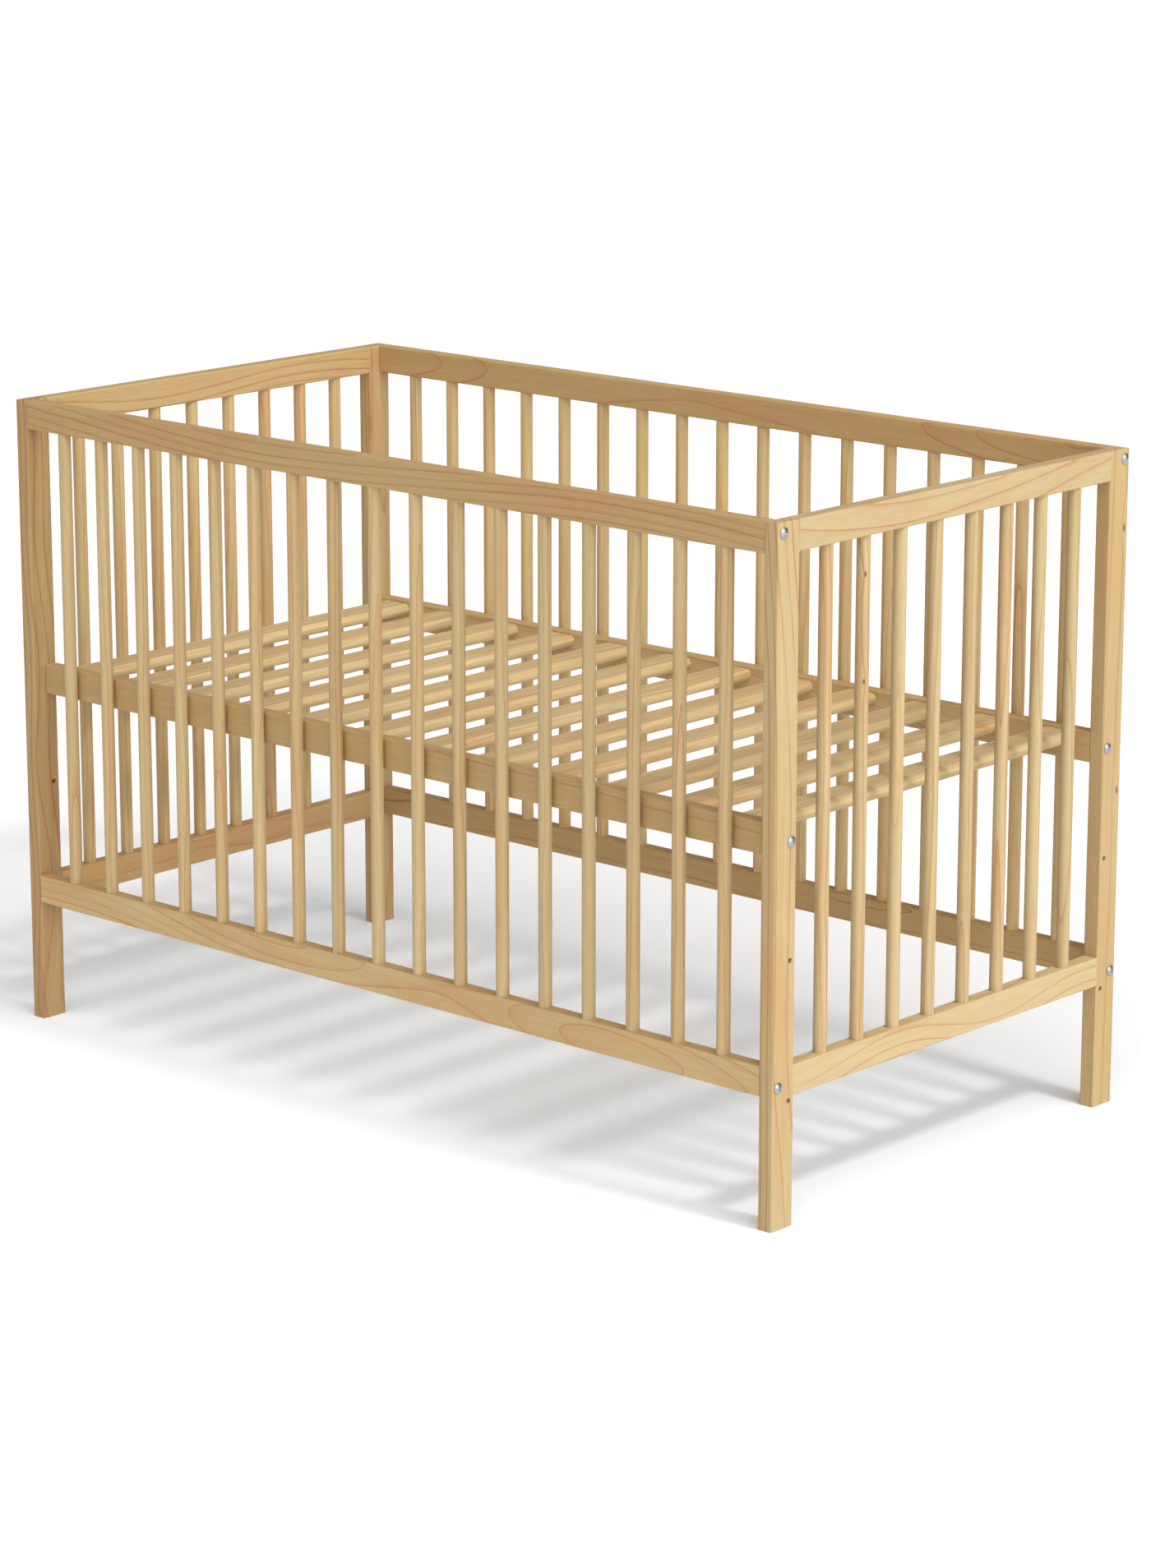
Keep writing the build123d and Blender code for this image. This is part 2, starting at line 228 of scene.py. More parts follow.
def direction(azimuth, elevation):
    """Unit vector towards an azimuth, counted from the front, and an elevation, in radians."""
    flat = math.cos(elevation)
    return Vector((math.sin(azimuth) * flat, -math.cos(azimuth) * flat, math.sin(elevation)))


class Tree:
    """Short way to place nodes in a node tree and wire them."""

    def __init__(self, tree):
        self.tree = tree

    def node(self, kind, label="", **inputs):
        """New node, with values or sockets fed to the named inputs."""
        node = self.tree.nodes.new(kind)
        node.label = label
        for name, value in inputs.items():
            self.feed(node.inputs[name.replace("_", " ")], value)
        return node

    def feed(self, socket, value):
        """Links a socket to another one, or sets its value."""
        if isinstance(value, bpy.types.NodeSocket):
            self.tree.links.new(value, socket)
        else:
            socket.default_value = value

    def math(self, operation, *values, clamp=False):
        node = self.tree.nodes.new("ShaderNodeMath")
        node.operation = operation
        node.use_clamp = clamp
        for socket, value in zip(node.inputs, values):
            self.feed(socket, value)
        return node.outputs[0]

    def vector(self, operation, *values):
        node = self.tree.nodes.new("ShaderNodeVectorMath")
        node.operation = operation
        for socket, value in zip([s for s in node.inputs if s.type == "VECTOR"], values):
            self.feed(socket, value)
        return node.outputs["Value"] if operation in ("LENGTH", "DOT_PRODUCT") else node.outputs["Vector"]

    def scaled(self, value, factor):
        node = self.tree.nodes.new("ShaderNodeVectorMath")
        node.operation = "SCALE"
        self.feed(node.inputs[0], value)
        self.feed(node.inputs["Scale"], factor)
        return node.outputs["Vector"]

    def noise(self, place, scale, detail, label=""):
        return self.node("ShaderNodeTexNoise", label, Vector=place, Scale=scale, Detail=detail)

    def stretched_noise(self, place, size, detail, label):
        """Noise whose features have the given size along each axis."""
        return self.noise(self.vector("MULTIPLY", place, tuple(1.0 / s for s in size)), 1.0, detail, label)

    def ramp(self, factor, stops, label):
        """Grey ramp through places and values."""
        node = self.node("ShaderNodeValToRGB", label, Fac=factor)
        elements = node.color_ramp.elements
        while len(elements) < len(stops):
            elements.new(0.5)
        for element, (place, value) in zip(elements, stops):
            element.position = place
            element.color = (value, value, value, 1.0)
        return node.outputs["Color"]

    def mix(self, factor, first, second):
        """Mix of two colours."""
        node = self.tree.nodes.new("ShaderNodeMix")
        node.data_type = "RGBA"
        sockets = {socket.identifier: socket for socket in (*node.inputs, *node.outputs)}
        self.feed(sockets["Factor_Float"], factor)
        self.feed(sockets["A_Color"], first)
        self.feed(sockets["B_Color"], second)
        return sockets["Result_Color"]


def new_group(name, inputs, outputs):
    """Shader node group with named sockets, and its input and output nodes."""
    group = bpy.data.node_groups.new(name, "ShaderNodeTree")
    for label, kind, default in inputs:
        socket = group.interface.new_socket(label, in_out="INPUT", socket_type=kind)
        if default is not None:
            socket.default_value = default
    for label, kind in outputs.items():
        group.interface.new_socket(label, in_out="OUTPUT", socket_type=kind)
    return group, group.nodes.new("NodeGroupInput"), group.nodes.new("NodeGroupOutput")


def pin_knots(t, board, place):
    """Mask of the two pin knots, and how far they push the rings away."""
    distances = []
    for name in ("Knot", "Second knot"):
        away = t.vector("SUBTRACT", place, board[name])
        distances.append(t.vector("LENGTH", t.vector("MULTIPLY", away, KNOT_STRETCH)))
    nearest = t.math("DIVIDE", t.math("MINIMUM", *distances), board["Knot size"])
    knot = t.ramp(nearest, KNOT_RAMP, "Pin knot")
    bend = t.ramp(t.math("MULTIPLY", nearest, KNOT_NEARNESS), BEND_RAMP, "Bend round the knot")
    return knot, t.math("MULTIPLY", bend, board["Knot size"])


def from_pith(t, board, place, in_log):
    """Way from the pith across the grain, shifted by the trunk's sweep and the board's own figure."""
    slow = t.stretched_noise(in_log, TRUNK_BEND, 1.5, "Sweep of the trunk")
    sweep = t.scaled(t.vector("SUBTRACT", slow.outputs["Color"], (0.5, 0.5, 0.5)), board["Sweep"])
    along = t.node("ShaderNodeSeparateXYZ", Vector=place).outputs["X"]
    reach = t.math("DIVIDE", along, REACH)
    turns = t.math("DIVIDE", reach, board["Wave length"])
    wave = t.math("SINE", t.math("MULTIPLY_ADD", turns, 2 * math.pi, board["Wave shift"]))
    across = t.vector("ADD", in_log, t.scaled(board["Lean"], reach))
    across = t.vector("ADD", across, t.scaled(board["Bow"], t.math("MULTIPLY", reach, reach)))
    across = t.vector("ADD", across, t.scaled(board["Wave"], wave))
    across = t.vector("ADD", across, t.scaled(sweep, SWEEP_GAIN))
    return t.vector("MULTIPLY", across, (0.0, 1.0, 1.0))


def late_wood(t, board, across, push):
    """Thin line at the end of each year, and the soft late wood before it."""
    radius = t.math("ADD", t.vector("LENGTH", across), push)
    rings = t.math("DIVIDE", radius, board["Ring width"])
    uneven = t.node("ShaderNodeTexNoise", "Uneven years", Scale=YEAR_CHANGE)
    uneven.noise_dimensions = "1D"
    t.feed(uneven.inputs["W"], rings)
    shift = t.math("MULTIPLY", uneven.outputs["Fac"], YEAR_SPREAD)
    rings = t.math("MULTIPLY_ADD", shift, board["Uneven"], rings)

    year = t.node("ShaderNodeTexWhiteNoise", "Year")
    year.noise_dimensions = "1D"
    t.feed(year.inputs["W"], t.math("FLOOR", rings))
    strength = t.ramp(year.outputs["Value"], YEAR_RAMP, "Strong and faint years")
    strength = t.math("MULTIPLY_ADD", t.math("SUBTRACT", strength, 1.0), board["Uneven"], 1.0)

    before = t.math("MULTIPLY", t.math("SUBTRACT", 1.0, t.math("FRACT", rings)), board["Ring width"])
    facing = t.vector("DOT_PRODUCT", t.vector("NORMALIZE", across), t.vector("NORMALIZE", board["Normal"]))
    slant = t.math("SUBTRACT", 1.0, t.math("MULTIPLY", facing, facing))
    on_face = t.math("DIVIDE", before, t.math("SQRT", t.math("MAXIMUM", slant, LEAST_SLANT)))
    line = t.ramp(t.math("DIVIDE", on_face, LINE_WIDTH), LINE_RAMP, "Late line")
    late = t.ramp(t.math("DIVIDE", before, LATE_DEPTH), LATE_RAMP, "Late wood")
    return t.math("MULTIPLY", line, strength), t.math("MULTIPLY", late, strength)


def pine_grain():
    """Growth rings, fibres, blush and pin knots of a board whose grain runs along X."""
    found = bpy.data.node_groups.get("Pine grain")
    if found:
        return found
    inputs = [(name, "NodeSocketVector", None) for name in GRAIN_VECTORS]
    inputs += [(name, "NodeSocketFloat", default) for name, default in GRAIN_VALUES.items()]
    inputs += [(name, "NodeSocketColor", None) for name in GRAIN_COLOURS]
    group, given, result = new_group("Pine grain", inputs, GRAIN_OUTPUTS)
    board = given.outputs
    t = Tree(group)
    place = t.scaled(board["Vector"], MM_PER_METRE)
    in_log = t.vector("ADD", place, board["Pith"])
    knot, push = pin_knots(t, board, place)
    line, late = late_wood(t, board, from_pith(t, board, place, in_log), push)

    fibre = t.stretched_noise(in_log, FIBRE, 2.0, "Fibres").outputs["Fac"]
    streak = t.stretched_noise(in_log, STREAK, 2.0, "Streaks").outputs["Fac"]
    patch = t.stretched_noise(in_log, PATCH, 2.0, "Patches").outputs["Fac"]
    line = t.math("MULTIPLY", line, t.math("MULTIPLY_ADD", patch, *LINE_BY_PATCH, clamp=True))
    rosy = t.ramp(t.math("MULTIPLY_ADD", late, ROSY_LATE, patch), ROSY_RAMP, "Rosy patches")
    rosy = t.math("MULTIPLY_ADD", late, ROSY_LATE, rosy, clamp=True)

    warmth = t.math("ADD", board["Warmth"], t.math("MULTIPLY_ADD", patch, *WARM_BY_PATCH), clamp=True)
    colour = t.mix(warmth, board["Pale"], board["Warm"])
    colour = t.mix(t.math("MULTIPLY", rosy, board["Blush"]), colour, board["Blush colour"])
    colour = t.mix(t.math("MULTIPLY", line, board["Lines"]), colour, board["Line"])
    colour = t.mix(knot, colour, board["Knot colour"])
    streak = t.math("MULTIPLY", t.math("SUBTRACT", streak, 0.5), board["Streaks"])
    shade = t.math("MULTIPLY_ADD", fibre, *FIBRE_SHADE)
    shade = t.math("MULTIPLY", shade, t.math("ADD", streak, board["Tone"]))
    t.feed(result.inputs["Color"], t.scaled(colour, shade))

    smoothest = t.math("SUBTRACT", board["Gloss"], FIBRE_ROUGHNESS / 2)
    rough = t.math("MULTIPLY_ADD", fibre, FIBRE_ROUGHNESS, smoothest)
    t.feed(result.inputs["Roughness"], t.math("SUBTRACT", rough, t.math("MULTIPLY", line, LINE_GLOSS)))
    height = t.math("MULTIPLY_ADD", fibre, FIBRE_HEIGHT, t.math("MULTIPLY", line, LINE_HEIGHT))
    t.feed(result.inputs["Height"], t.math("SUBTRACT", height, knot))
    return group


def place_pine(t, place, normal, figure):
    """Puts the pine group in a tree, with the colours from the settings and the figure of one board."""
    pine, _, _ = settings()
    grain = t.node("ShaderNodeGroup", "Pine")
    grain.node_tree = pine_grain()
    t.feed(grain.inputs["Vector"], place)
    t.feed(grain.inputs["Normal"], normal)
    for name, colour in zip(GRAIN_COLOURS, (pine.pale, pine.warm, pine.line, pine.blush, pine.knot)):
        grain.inputs[name].default_value = (*colour, 1.0)
    grain.inputs["Ring width"].default_value = pine.ring_width
    grain.inputs["Gloss"].default_value = pine.roughness
    for name, value in figure.items():
        t.feed(grain.inputs[name], value)
    return grain


def spindle_row():
    """Pine for a row of spindles along Z, each from its own place in the trunk."""
    found = bpy.data.node_groups.get("Spindle row")
    if found:
        return found
    pith_spread = (TRUNK_LENGTH, 160.0, 160.0)
    tone_spread = 0.12
    inputs = [(name, "NodeSocketVector", None) for name in ("Vector", "Normal")]
    inputs += [(name, "NodeSocketFloat", 1.0) for name in ("Pitch", "Seed", "Tone", "Warmth")]
    group, given, result = new_group("Spindle row", inputs, GRAIN_OUTPUTS)
    row = given.outputs
    t = Tree(group)
    place = t.node("ShaderNodeSeparateXYZ", Vector=row["Vector"]).outputs
    number = t.math("ROUND", t.math("DIVIDE", place["Z"], row["Pitch"]))
    from_axis = t.math("SUBTRACT", place["Z"], t.math("MULTIPLY", number, row["Pitch"]))
    own_place = t.node("ShaderNodeCombineXYZ", X=place["X"], Y=place["Y"], Z=from_axis).outputs[0]
    chance = t.node("ShaderNodeTexWhiteNoise", "Chance of each spindle")
    chance.noise_dimensions = "1D"
    t.feed(chance.inputs["W"], t.math("ADD", number, row["Seed"]))
    centred = t.vector("SUBTRACT", chance.outputs["Color"], (0.5, 0.5, 0.5))
    tone = t.math("SUBTRACT", chance.outputs["Value"], 0.5)
    figure = {
        "Pith": t.vector("MULTIPLY", centred, pith_spread),
        "Lean": (0.0, 0.8, 1.2),
        "Tone": t.math("MULTIPLY_ADD", tone, tone_spread, row["Tone"]),
        "Warmth": row["Warmth"],
        "Lines": 0.5,
        "Streaks": 0.3,
    }
    grain = place_pine(t, own_place, row["Normal"], figure)
    for name in GRAIN_OUTPUTS:
        t.feed(result.inputs[name], grain.outputs[name])
    return group


def new_material(name):
    """Empty material with its output and Principled shader."""
    material = bpy.data.materials.new(name)
    material.use_nodes = True
    tree = material.node_tree
    tree.nodes.clear()
    output = tree.nodes.new("ShaderNodeOutputMaterial")
    shader = tree.nodes.new("ShaderNodeBsdfPrincipled")
    tree.links.new(shader.outputs[0], output.inputs["Surface"])
    return material, Tree(tree), shader


def lacquer(t, shader, grain):
    """Wires a grain group to the shader of a lacquered board."""
    height = grain.outputs["Height"]
    bump = t.node("ShaderNodeBump", "Open grain", Strength=0.12, Distance=0.0003, Height=height)
    t.feed(shader.inputs["Base Color"], grain.outputs["Color"])
    t.feed(shader.inputs["Roughness"], grain.outputs["Roughness"])
    t.feed(shader.inputs["Normal"], bump.outputs["Normal"])
    shader.inputs["Specular IOR Level"].default_value = 0.25


def along_grain(t, axis, centre):
    """Place and normal of a piece in a frame centred on it, with its grain turned to X."""
    turn = GRAIN_TURN[axis]
    source = t.node("ShaderNodeTexCoord")
    place = t.node("ShaderNodeMapping", "Along the grain", Vector=source.outputs["Object"])
    place.inputs["Rotation"].default_value = turn
    place.inputs["Location"].default_value = -(turn.to_matrix() @ Vector(centre))
    normal = t.node("ShaderNodeMapping", "Facing", Vector=source.outputs["Normal"])
    normal.vector_type = "NORMAL"
    normal.inputs["Rotation"].default_value = turn
    return place.outputs["Vector"], normal.outputs["Vector"]


def middle(name):
    """Middle of a CAD node's box."""
    low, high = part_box(name)
    return [(a + b) / 2 for a, b in zip(low, high)]


def pine_board(name, axis, figure):
    """Pine material for one board."""
    material, t, shader = new_material("pine_" + name)
    place, normal = along_grain(t, axis, middle(name))
    lacquer(t, shader, place_pine(t, place, normal, figure))
    return material


def dress(name, material):
    """Gives a CAD node its material."""
    node = NODES[name]
    if not node.material_slots:
        raise RuntimeError(name + " has no material slot")
    for slot in node.material_slots:
        slot.material = material


def chance_figure(seed, own, sawn=0.0, near=35.0, far=80.0, lean=2.0):
    """Figure of a board from a chance place in the trunk, under what the board has of its own.

    The pith lies near the given turn about the grain, in degrees, between two distances in millimetres.
    """
    spread = 25.0
    rng = random.Random(seed)
    angle = math.radians(sawn + rng.uniform(-spread, spread) + rng.choice((0.0, 180.0)))
    radius = rng.uniform(near, far)
    along = rng.uniform(-TRUNK_LENGTH, TRUNK_LENGTH)
    figure = {
        "Pith": (along, radius * math.cos(angle), radius * math.sin(angle)),
        "Lean": (0.0, rng.uniform(-lean, lean), rng.uniform(-lean, lean)),
    }
    for name, limits in CHANCE_RANGES.items():
        figure[name] = rng.uniform(*limits)
    figure.update(own)
    return figure


class CRIB_OT_posts(bpy.types.Operator):
    """Finish the four corner posts"""

    bl_idname = "crib.posts"
    bl_label = "Posts"
    first_seed = 100
    figures = {
        "post_front_left": {
            "Tone": 0.835, "Warmth": 1.0, "Lines": 0.9, "Blush": 1.0,
            "Ring width": 9.0, "Uneven": 0.4, "Sweep": 5.0,
            "Pith": (300.0, 40.0, -55.0), "Lean": (0.0, 5.5, 0.5),
            "Wave": (0.0, 0.0, 4.0), "Wave length": 3.0,
        },
        "post_front_right": {
            "Tone": 0.955, "Warmth": 0.3, "Lines": 0.75, "Ring width": 9.0, "Uneven": 0.6, "Sweep": 5.0,
            "Pith": (900.0, 34.0, -58.0), "Lean": (0.0, 6.0, 0.0),
            "Wave": (0.0, 8.0, 0.0), "Wave length": 7.0, "Wave shift": -2.7,
        },
        "post_back_left": {"Tone": 0.94, "Warmth": 0.8},
        "post_back_right": {
            "Tone": 0.94, "Warmth": 0.7, "Ring width": 13.0, "Sweep": 6.0,
            "Pith": (1500.0, 56.0, -50.0), "Lean": (0.0, -2.0, 0.0),
            "Knot": (-11.0, 12.0, -10.0), "Second knot": (309.0, 11.5, -10.0), "Knot size": 4.0,
        },
    }

    def execute(self, context):
        for seed, (name, own) in enumerate(self.figures.items(), self.first_seed):
            dress(name, pine_board(name, "Z", chance_figure(seed, own, sawn=90.0)))
        return {"FINISHED"}


class CRIB_OT_end_rails(bpy.types.Operator):
    """Finish the rails of the end panels"""

    bl_idname = "crib.end_rails"
    bl_label = "End rails"
    first_seed = 200
    figures = {
        "end_top_rail_left": {
            "Tone": 0.96, "Warmth": 0.75, "Lines": 1.0, "Ring width": 11.0, "Sweep": 3.0,
            "Pith": (1300.0, 30.0, -60.0), "Wave": (0.0, 0.0, 8.0), "Wave length": 5.2, "Wave shift": 2.74,
        },
        "end_top_rail_right": {
            "Tone": 0.95, "Warmth": 0.0, "Lines": 0.75, "Ring width": 12.0, "Sweep": 3.0,
            "Pith": (200.0, -60.0, 45.0), "Lean": (0.0, 5.0, 3.0), "Bow": (0.0, 1.0, -2.2),
        },
        "end_bottom_rail_left": {"Tone": 1.08, "Warmth": 0.95},
        "end_bottom_rail_right": {
            "Tone": 1.02, "Warmth": 0.0, "Lines": 0.65, "Ring width": 13.0, "Sweep": 4.0,
            "Pith": (700.0, -30.0, -60.0), "Wave": (0.0, 0.0, 12.0), "Wave length": 3.6, "Wave shift": 0.1,
        },
    }

    def execute(self, context):
        for seed, (name, own) in enumerate(self.figures.items(), self.first_seed):
            dress(name, pine_board(name, "Y", chance_figure(seed, own)))
        return {"FINISHED"}


class CRIB_OT_side_rails(bpy.types.Operator):
    """Finish the rails of the long sides and of the base"""

    bl_idname = "crib.side_rails"
    bl_label = "Side and base rails"
    first_seed = 300
    figures = {
        "side_top_rail_front": {
            "Tone": 0.92, "Warmth": 0.9, "Lines": 0.75, "Blush": 0.9, "Ring width": 9.5, "Sweep": 4.0,
            "Pith": (400.0, 40.0, -70.0), "Wave": (0.0, 0.0, 16.0), "Wave length": 11.8, "Wave shift": 2.53,
        },
        "side_top_rail_back": {
            "Tone": 0.98, "Warmth": 1.0, "Lines": 0.75, "Ring width": 12.0, "Sweep": 3.0,
            "Pith": (1900.0, 75.0, -10.0), "Lean": (0.0, -1.5, -1.0), "Bow": (0.0, -1.8, 0.0),
        },
        "side_bottom_rail_front": {
            "Tone": 1.06, "Warmth": 0.6, "Lines": 0.62, "Blush": 0.6,
            "Ring width": 6.5, "Uneven": 0.7, "Sweep": 3.0,
            "Pith": (1100.0, 70.0, -16.0), "Lean": (0.0, 0.0, 6.0),
            "Wave": (0.0, 8.0, 0.0), "Wave length": 6.0, "Wave shift": 0.46,
        },
        "side_bottom_rail_back": {"Tone": 0.95, "Warmth": 1.0},
        "base_rail_front": {
            "Tone": 0.925, "Warmth": 0.9, "Lines": 0.7, "Ring width": 14.0, "Uneven": 0.5, "Sweep": 6.0,
            "Pith": (2500.0, -60.0, 20.0), "Lean": (0.0, 0.0, 3.0),
        },
        "base_rail_back": {"Tone": 1.0, "Warmth": 0.9},
    }

    def execute(self, context):
        for seed, (name, own) in enumerate(self.figures.items(), self.first_seed):
            dress(name, pine_board(name, "X", chance_figure(seed, own, lean=1.2)))
        return {"FINISHED"}


class CRIB_OT_slats(bpy.types.Operator):
    """Finish the slats of the base"""

    bl_idname = "crib.slats"
    bl_label = "Slats"
    first_seed = 401
    shade = {"Tone": 1.13, "Warmth": 0.2, "Streaks": 0.8}

    def execute(self, context):
        names = sorted(name for name in NODES if name.startswith("slat_"))
        for seed, name in enumerate(names, self.first_seed):
            dress(name, pine_board(name, "Y", chance_figure(seed, self.shade, near=40.0, far=140.0)))
        return {"FINISHED"}


class CRIB_OT_end_spindles(bpy.types.Operator):
    """Finish the spindles of the end panels"""

    bl_idname = "crib.end_spindles"
    bl_label = "End spindles"
    first_seeds = {"left": 501, "right": 521}
    shades = {"left": {"Warmth": 0.4, "Lines": 0.6}, "right": {"Warmth": 0.0, "Lines": 0.6}}
    tones = {"left": 1.04, "right": 0.96}
    knots = {
        "right_spindle_2": {
            "Knot": (248.0, -4.4, -6.7), "Second knot": (126.0, -4.4, -6.7), "Knot size": 2.8,
        },
    }

    def execute(self, context):
        for end, first_seed in self.first_seeds.items():
            for number in range(END_SPINDLE_COUNT):
                name = f"{end}_spindle_{number + 1}"
                figure = chance_figure(first_seed + number, self.shades[end])
                figure["Tone"] *= self.tones[end]
                figure.update(self.knots.get(name, {}))
                dress(name, pine_board(name, "Z", figure))
        return {"FINISHED"}


class CRIB_OT_side_spindles(bpy.types.Operator):
    """Finish the two rows of spindles in the long sides"""

    bl_idname = "crib.side_spindles"
    bl_label = "Side spindles"
    shades = {
        "front_spindles": {"Seed": 3.0, "Tone": 1.01, "Warmth": 0.2},
        "back_spindles": {"Seed": 43.0, "Tone": 1.11, "Warmth": 0.4},
    }

    def execute(self, context):
        for name, shade in self.shades.items():
            low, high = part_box(name)
            diameter = high[1] - low[1]
            material, t, shader = new_material("pine_" + name)
            row = t.node("ShaderNodeGroup", "Row")
            row.node_tree = spindle_row()
            row.inputs["Pitch"].default_value = (high[0] - low[0] - diameter) / (SIDE_SPINDLE_COUNT - 1)
            for label, value in shade.items():
                row.inputs[label].default_value = value
            place, normal = along_grain(t, "Z", middle(name))
            t.feed(row.inputs["Vector"], place)
            t.feed(row.inputs["Normal"], normal)
            lacquer(t, shader, row)
            dress(name, material)
        return {"FINISHED"}


class CRIB_OT_dowels(bpy.types.Operator):
    """Finish the hidden dowels"""

    bl_idname = "crib.dowels"
    bl_label = "Dowels"
    seed = 600
    shade = {"Tone": 0.9}

    def execute(self, context):
        for name, axis in (("side_dowels", "X"), ("end_dowels", "Y")):
            dress(name, pine_board(name, axis, chance_figure(self.seed, self.shade)))
        return {"FINISHED"}


class CRIB_OT_bolts(bpy.types.Operator):
    """Finish the bolts and the threaded inserts"""

    bl_idname = "crib.bolts"
    bl_label = "Bolts and inserts"
    spangle_scale = 900.0
    cloud_scale = 220.0
    dull_share = 0.86
    cloud_roughness = 0.22
    bright_gain = 0.08

    def execute(self, context):
        material = self.zinc_plate()
        names = [name for name in NODES if name.startswith("base_bolt_")]
        for name in names + ["side_bolts", "side_inserts", "base_inserts"]:
            dress(name, material)
        return {"FINISHED"}

    def zinc_plate(self):
        """Bright plating, a little dulled in clouds."""
        _, zinc, _ = settings()
        material, t, shader = new_material("zinc_plate")
        source = t.node("ShaderNodeTexCoord").outputs["Object"]
        spangle = t.noise(source, self.spangle_scale, 3.0, "Plating").outputs["Fac"]
        cloud = t.noise(source, self.cloud_scale, 2.0, "Handling").outputs["Fac"]
        dull = [self.dull_share * value for value in zinc.colour]
        smoothest = zinc.roughness - self.bright_gain
        bump = t.node("ShaderNodeBump", "Spangle", Strength=0.08, Distance=0.0001, Height=spangle)
        t.feed(shader.inputs["Base Color"], t.mix(cloud, (*dull, 1.0), (*zinc.colour, 1.0)))
        t.feed(shader.inputs["Roughness"], t.math("MULTIPLY_ADD", cloud, self.cloud_roughness, smoothest))
        t.feed(shader.inputs["Normal"], bump.outputs["Normal"])
        shader.inputs["Metallic"].default_value = 1.0
        return material


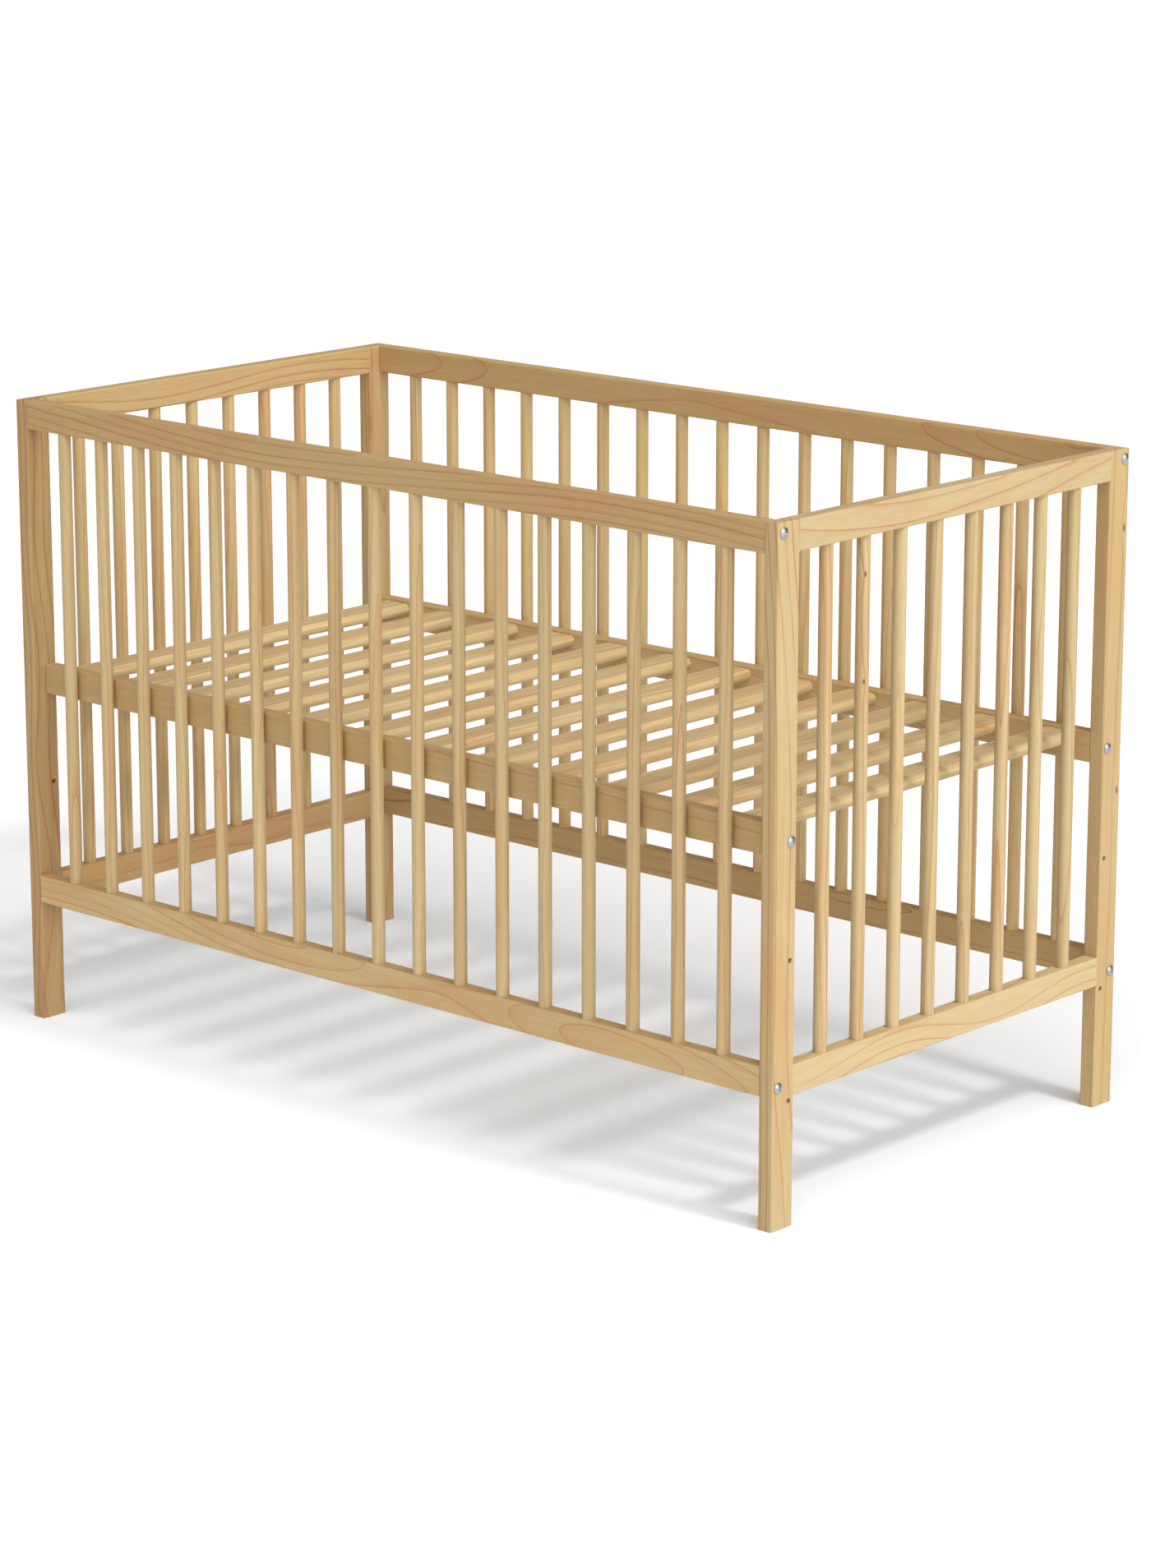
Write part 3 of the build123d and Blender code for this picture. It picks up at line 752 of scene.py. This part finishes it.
class CRIB_OT_stage(bpy.types.Operator):
    """Set up the floor, the light and the camera"""

    bl_idname = "crib.stage"
    bl_label = "Studio"

    # Boxes on the floor, as centres, half sizes and widths of the soft edge, in metres
    # Box where the bluer floor colour is painted to cancel the wood's warm light
    painted_cool_box = ((-0.025, -0.03), (0.475, 0.16), 0.5)
    left_box = ((-0.55, 0.0), (0.55, 0.2), 0.28)
    shadow_box = ((-0.3, 0.2), (0.85, 0.52), 0.34)
    behind_front_box = ((0.0, 1.0), (3.0, 1.25), 0.09)
    cloud_scale = 1.3
    cloud_depth = 0.015

    # Azimuths and elevations of the soft lights, in degrees, and how narrow they are
    right_side = (90.0, 15.0)
    front_side = (45.0, 50.0)
    back_side = (225.0, 15.0)
    light_focus = 5.0

    film_height = 36.0
    sight_limit = 200.0

    def execute(self, context):
        _, _, studio = settings()
        self.make_floor(studio)
        self.make_key(studio)
        self.make_soft_light(studio)
        self.make_camera(studio)
        bpy.context.scene.view_settings.view_transform = "Standard"
        return {"FINISHED"}

    @staticmethod
    def outside(t, source, box):
        """Mask that rises smoothly from 0 in a box on the floor to 1 past its soft edge."""
        centre, half, edge = box
        away = t.vector("ABSOLUTE", t.vector("SUBTRACT", source, (*centre, 0.0)))
        away = t.vector("MAXIMUM", t.vector("SUBTRACT", away, (*half, 1.0)), (0.0, 0.0, 0.0))
        fade = t.node("ShaderNodeMapRange", Value=t.vector("LENGTH", away), From_Max=edge)
        fade.interpolation_type = "SMOOTHSTEP"
        return fade.outputs["Result"]

    def floor_material(self, studio):
        """Pale, faintly uneven floor, with a little light of its own round the crib's shadow."""
        material, t, shader = new_material("studio_floor")
        source = t.node("ShaderNodeTexCoord").outputs["Object"]
        # Painted light: inside this box the floor takes the bluer colour that cancels the wood's warm light
        under = self.outside(t, source, self.painted_cool_box)
        colour = t.mix(under, (*studio.floor_painted_cool_under, 1.0), (*studio.floor, 1.0))
        cloud = t.math("MULTIPLY", t.noise(source, self.cloud_scale, 3.0).outputs["Fac"], self.cloud_depth)
        t.feed(shader.inputs["Base Color"], t.mix(cloud, colour, BLACK))
        left = t.math("SUBTRACT", 1.0, self.outside(t, source, self.left_box))
        front = self.outside(t, source, self.behind_front_box)
        beyond = self.outside(t, source, self.shadow_box)
        glow = t.math("MULTIPLY", left, studio.glow_under)
        glow = t.math("MULTIPLY_ADD", front, studio.glow_front, glow)
        glow = t.math("MULTIPLY_ADD", beyond, studio.backdrop, glow)
        t.feed(shader.inputs["Emission Strength"], glow)
        shader.inputs["Emission Color"].default_value = WHITE
        shader.inputs["Roughness"].default_value = 0.8
        shader.inputs["Specular IOR Level"].default_value = 0.0
        return material

    def make_floor(self, studio):
        """Flat square floor."""
        mesh = bpy.data.meshes.new("studio_floor")
        bm = bmesh.new()
        bmesh.ops.create_grid(bm, x_segments=2, y_segments=2, size=studio.floor_size / 2)
        bm.to_mesh(mesh)
        bm.free()
        mesh.materials.append(self.floor_material(studio))
        floor = bpy.data.objects.new("studio_floor", mesh)
        bpy.context.scene.collection.objects.link(floor)

    def make_key(self, studio):
        """Key light, high on the right."""
        lamp = bpy.data.lights.new("key", "AREA")
        lamp.shape = "DISK"
        lamp.size = studio.key_size
        lamp.energy = studio.key_power
        key = bpy.data.objects.new("key", lamp)
        key.location = studio.key_place
        back = Vector(studio.key_place) - Vector(studio.key_aim)
        key.rotation_euler = back.to_track_quat("Z", "Y").to_euler()
        key.visible_camera = False
        bpy.context.scene.collection.objects.link(key)

    def make_soft_light(self, studio):
        """Large soft lights round the crib, with a plain white backdrop where the floor ends."""
        world = bpy.data.worlds.new("studio")
        world.use_nodes = True
        t = Tree(world.node_tree)
        ray = t.vector("NORMALIZE", t.node("ShaderNodeTexCoord").outputs["Generated"])
        glow = 0.0
        for strength, side in (
            (studio.right_light, self.right_side),
            (studio.front_light, self.front_side),
            (studio.back_light, self.back_side),
        ):
            towards = direction(*map(math.radians, side))
            away = t.math("SUBTRACT", t.vector("DOT_PRODUCT", ray, towards), 1.0)
            lobe = t.math("EXPONENT", t.math("MULTIPLY", away, self.light_focus))
            glow = t.math("MULTIPLY_ADD", lobe, strength, glow)
        seen = t.node("ShaderNodeLightPath", "White backdrop").outputs["Is Camera Ray"]
        unseen = t.math("SUBTRACT", 1.0, seen)
        background = world.node_tree.nodes["Background"]
        background.inputs["Color"].default_value = WHITE
        t.feed(background.inputs["Strength"], t.math("MULTIPLY_ADD", unseen, glow, seen))
        bpy.context.scene.world = world

    def make_camera(self, studio):
        """Camera at the photograph's viewing angle."""
        back = direction(studio.camera_azimuth, studio.camera_elevation)
        right = Vector((math.cos(studio.camera_azimuth), math.sin(studio.camera_azimuth), 0.0))
        turn = Matrix((right, back.cross(right), back)).transposed()
        data = bpy.data.cameras.new("camera")
        data.sensor_fit = "VERTICAL"
        data.sensor_height = self.film_height
        data.lens = studio.lens
        data.clip_end = self.sight_limit
        camera = bpy.data.objects.new("camera", data)
        camera.location = studio.camera_place
        camera.rotation_euler = turn.to_euler()
        bpy.context.scene.collection.objects.link(camera)
        bpy.context.scene.camera = camera


class CRIB_PT_panel(bpy.types.Panel):
    """Crib finishes in the sidebar"""

    bl_idname = "CRIB_PT_panel"
    bl_label = "Wooden crib"
    bl_space_type = "VIEW_3D"
    bl_region_type = "UI"
    bl_category = "Crib"

    def draw(self, context):
        layout = self.layout
        for group in settings():
            box = layout.box()
            for name in group.__annotations__:
                box.prop(group, name)
        for operator in OPERATORS:
            layout.operator(operator.bl_idname)


OPERATORS = (
    CRIB_OT_posts, CRIB_OT_end_rails, CRIB_OT_side_rails, CRIB_OT_slats, CRIB_OT_end_spindles,
    CRIB_OT_side_spindles, CRIB_OT_dowels, CRIB_OT_bolts, CRIB_OT_stage,
)
CLASSES = (PineSettings, ZincSettings, StudioSettings, *OPERATORS, CRIB_PT_panel)


def register():
    for cls in CLASSES:
        bpy.utils.register_class(cls)
    bpy.types.Scene.crib_pine = PointerProperty(type=PineSettings)
    bpy.types.Scene.crib_zinc = PointerProperty(type=ZincSettings)
    bpy.types.Scene.crib_studio = PointerProperty(type=StudioSettings)


def unregister():
    del bpy.types.Scene.crib_studio
    del bpy.types.Scene.crib_zinc
    del bpy.types.Scene.crib_pine
    for cls in reversed(CLASSES):
        bpy.utils.unregister_class(cls)


def main():
    register()
    bpy.ops.crib.posts()
    bpy.ops.crib.end_rails()
    bpy.ops.crib.side_rails()
    bpy.ops.crib.slats()
    bpy.ops.crib.end_spindles()
    bpy.ops.crib.side_spindles()
    bpy.ops.crib.dowels()
    bpy.ops.crib.bolts()
    bpy.ops.crib.stage()


if __name__ == "__main__":
    main()
